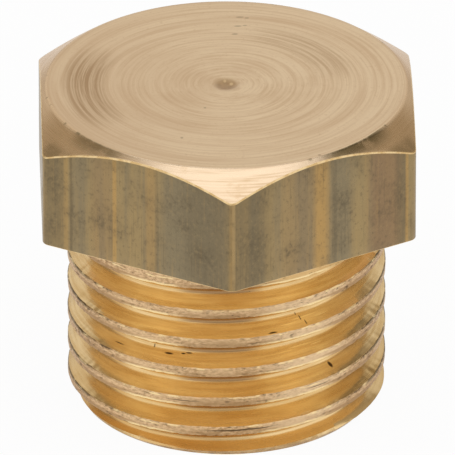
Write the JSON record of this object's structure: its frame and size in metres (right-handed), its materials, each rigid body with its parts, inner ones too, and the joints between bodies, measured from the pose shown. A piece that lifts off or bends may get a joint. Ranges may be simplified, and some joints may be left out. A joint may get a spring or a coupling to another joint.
{
  "type": "pipe plug",
  "caption": "Solid brass pipe plug with a chamfered hexagon head and a short right-hand parallel male pipe thread, used to close a threaded port.",
  "frame": {"origin": "centre of the threaded end face, on which the plug stands", "axes": "+Z along the thread axis from the threaded end to the head, -Y towards one corner of the hexagon"},
  "size_m": [0.015, 0.0172, 0.0137],
  "materials": {
    "brass": "as turned, with drawn flats"
  },
  "bodies": {
    "root": {"hex_plug": "brass"}
  },
  "joints": []
}
